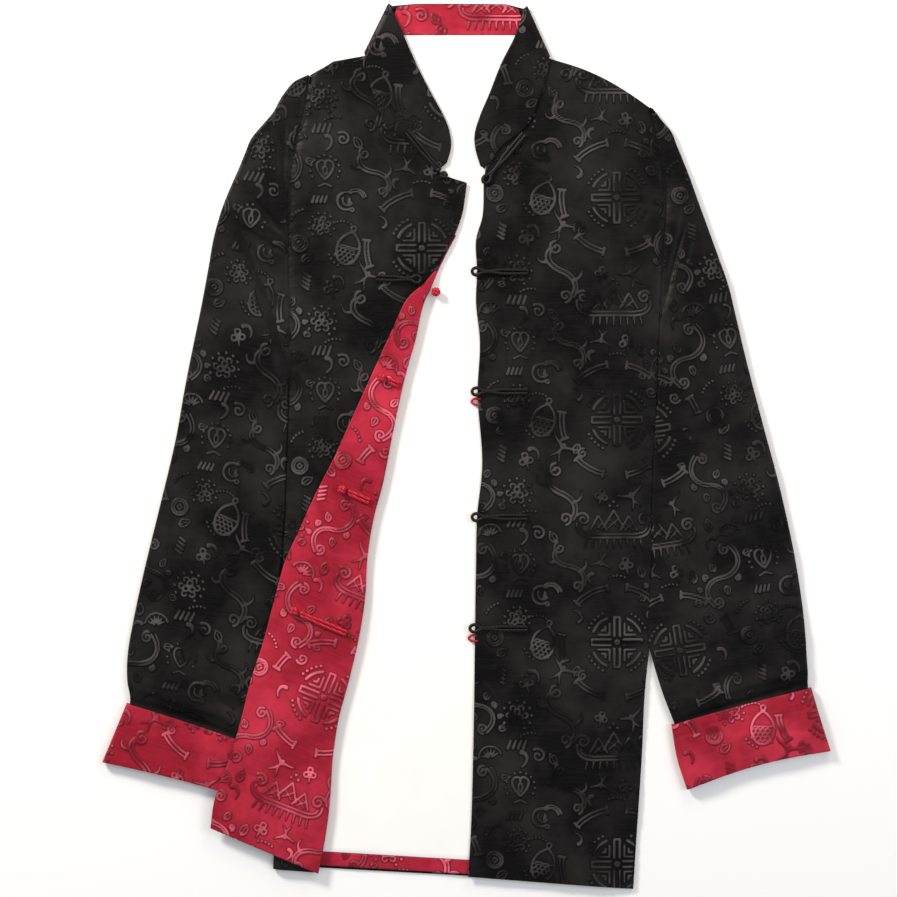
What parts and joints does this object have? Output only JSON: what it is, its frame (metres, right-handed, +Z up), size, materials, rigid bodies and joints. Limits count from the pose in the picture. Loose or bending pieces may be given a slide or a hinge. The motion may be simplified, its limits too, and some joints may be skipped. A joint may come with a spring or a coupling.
{
  "type": "tang jacket laid flat",
  "caption": "Long-sleeved black brocade tang jacket with a red second side, stand collar, frog fastenings and turned-back cuffs, laid flat with one front folded back.",
  "frame": {"origin": "centre of the bounding box on the surface the jacket lies on", "axes": "+Y from the hem to the collar, +Z up off the surface out of the fronts, +X towards the wearer's left sleeve"},
  "size_m": [0.656, 0.7986, 0.0169],
  "materials": {
    "black_brocade": "figured satin, soft sheen",
    "red_brocade": "figured satin, soft sheen",
    "white_lining": "plain weave, matt",
    "black_cord": "satin bias cord",
    "red_cord": "satin bias cord"
  },
  "bodies": {
    "root": {"back": "black_brocade", "front_right": "black_brocade", "front_left": "black_brocade", "front_left_turned": "black_brocade", "front_left_facing": "red_brocade", "back_lining": "white_lining", "back_hem_facing": "red_brocade", "sleeve_right": "black_brocade", "sleeve_left": "black_brocade", "cuff_right": "red_brocade", "cuff_left": "red_brocade", "collar": "black_brocade", "collar_lining": "red_brocade", "frog_collar_knot": "black_cord", "frog_collar_knot_ball": "black_cord", "frog_collar_loop": "black_cord", "frog_left_2": "black_cord", "frog_right_2": "black_cord", "frog_right_3": "black_cord", "frog_right_4": "black_cord", "frog_right_5": "black_cord", "frog_turned_3": "red_cord", "frog_turned_3_ball": "red_cord", "frog_turned_4": "red_cord", "frog_turned_4_ball": "red_cord", "frog_turned_5": "red_cord", "frog_turned_5_ball": "red_cord", "frog_red_loop_3": "red_cord", "frog_red_loop_5": "red_cord", "frog_red_knot_2": "red_cord"}
  },
  "joints": []
}
